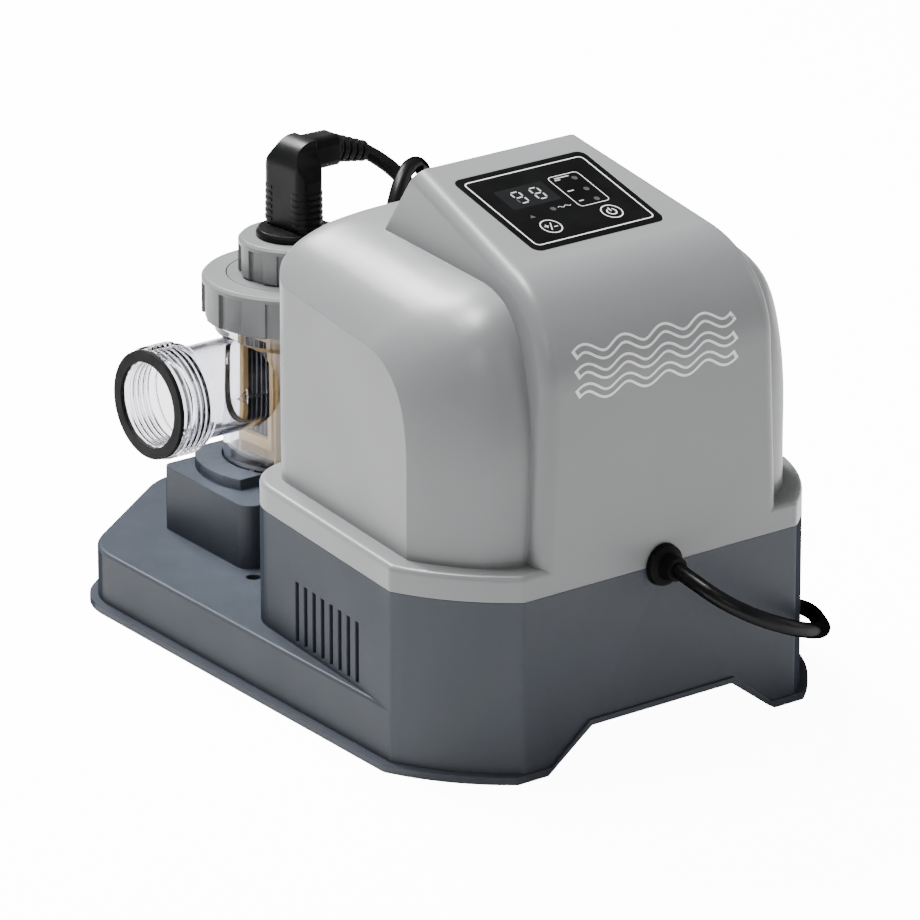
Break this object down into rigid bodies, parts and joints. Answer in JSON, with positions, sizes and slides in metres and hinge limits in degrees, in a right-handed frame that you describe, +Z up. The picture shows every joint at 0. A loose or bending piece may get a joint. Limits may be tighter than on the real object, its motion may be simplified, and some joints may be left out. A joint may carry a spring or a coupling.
{
  "type": "salt chlorine generator",
  "caption": "Grey housing with sloped control panel on a dark tray, clear electrolysis cell with threaded hose ports behind it, cell lead and mains lead.",
  "frame": {"origin": "on the floor under the middle of the appliance's overall box, cord left out", "axes": "-Y is the front with the mains lead and panel, +X is to the right seen from the front, +Z is up"},
  "size_m": [0.3487, 0.518, 0.2766],
  "materials": {
    "cover_grey": "fine moulded texture, satin",
    "base_slate": "fine moulded texture, satin",
    "nut_grey": "satin",
    "cell_clear": "clear moulded",
    "panel_film": "matt film",
    "window_dark": "smoked",
    "key_film": "matt film",
    "board_laminate": "solder mask",
    "component_black": "moulded",
    "lamp_lens": "diffuse lens",
    "screw_steel": "zinc plated",
    "core_steel": "lacquered laminations",
    "winding_tape": "polyester tape",
    "sink_aluminium": "extruded",
    "spacer_nylon": "natural nylon",
    "frame_cream": "moulded",
    "plate_titanium": "coated mesh plate",
    "seal_rubber": "matt",
    "plug_black": "moulded",
    "cord_black": "satin sheath",
    "pin_brass": "plated"
  },
  "bodies": {
    "housing": {"base_shell": "base_slate", "top_cover": "cover_grey", "cover_screws": "screw_steel", "panel_overlay": "panel_film", "display_window": "window_dark", "control_board": "board_laminate", "display_module": "component_black", "indicator_lamps": "lamp_lens", "key_switches": "component_black", "control_board_screws": "screw_steel", "power_board": "board_laminate", "board_standoffs": "spacer_nylon", "power_board_screws": "screw_steel", "transformer_core": "core_steel", "transformer_winding": "winding_tape", "heat_sink": "sink_aluminium", "capacitors": "component_black", "terminal_block": "component_black", "cell_body": "cell_clear", "electrode_head": "nut_grey", "head_seal": "seal_rubber", "electrode_plates": "plate_titanium", "electrode_frame": "frame_cream", "electrode_pins": "pin_brass", "inlet_gasket": "seal_rubber", "outlet_gasket": "seal_rubber", "cell_screws": "screw_steel", "cell_plug": "plug_black", "cell_plug_boot": "plug_black", "cell_lead": "cord_black", "cell_lead_gland": "seal_rubber", "mains_grommet": "seal_rubber", "mains_lead": "cord_black", "mains_coil": "cord_black", "mains_tail": "cord_black", "mains_plug": "plug_black", "mains_plug_boot": "plug_black", "plug_pins": "pin_brass"},
    "boost_button": {"boost_button": "key_film"},
    "power_button": {"power_button": "key_film"},
    "union_nut": {"union_nut": "nut_grey"},
    "lock_nut": {"lock_nut": "nut_grey"}
  },
  "joints": [
    {"name": "boost_button_press", "type": "slide", "parent": "housing", "child": "boost_button", "axis": [0, 0.291, -0.9567], "range_m": [0, 0.0004], "stiffness_N_per_m": 500},
    {"name": "power_button_press", "type": "slide", "parent": "housing", "child": "power_button", "axis": [0, 0.291, -0.9567], "range_m": [0, 0.0004], "stiffness_N_per_m": 500},
    {"name": "union_nut_turn", "type": "hinge", "parent": "housing", "child": "union_nut", "pos_m": [0, 0.0984, 0.161], "axis": [0, 0, 1], "range_deg": [0, 540]},
    {"name": "lock_nut_turn", "type": "hinge", "parent": "housing", "child": "lock_nut", "pos_m": [0, 0.0984, 0.182], "axis": [0, 0, 1], "range_deg": [0, 540]}
  ]
}
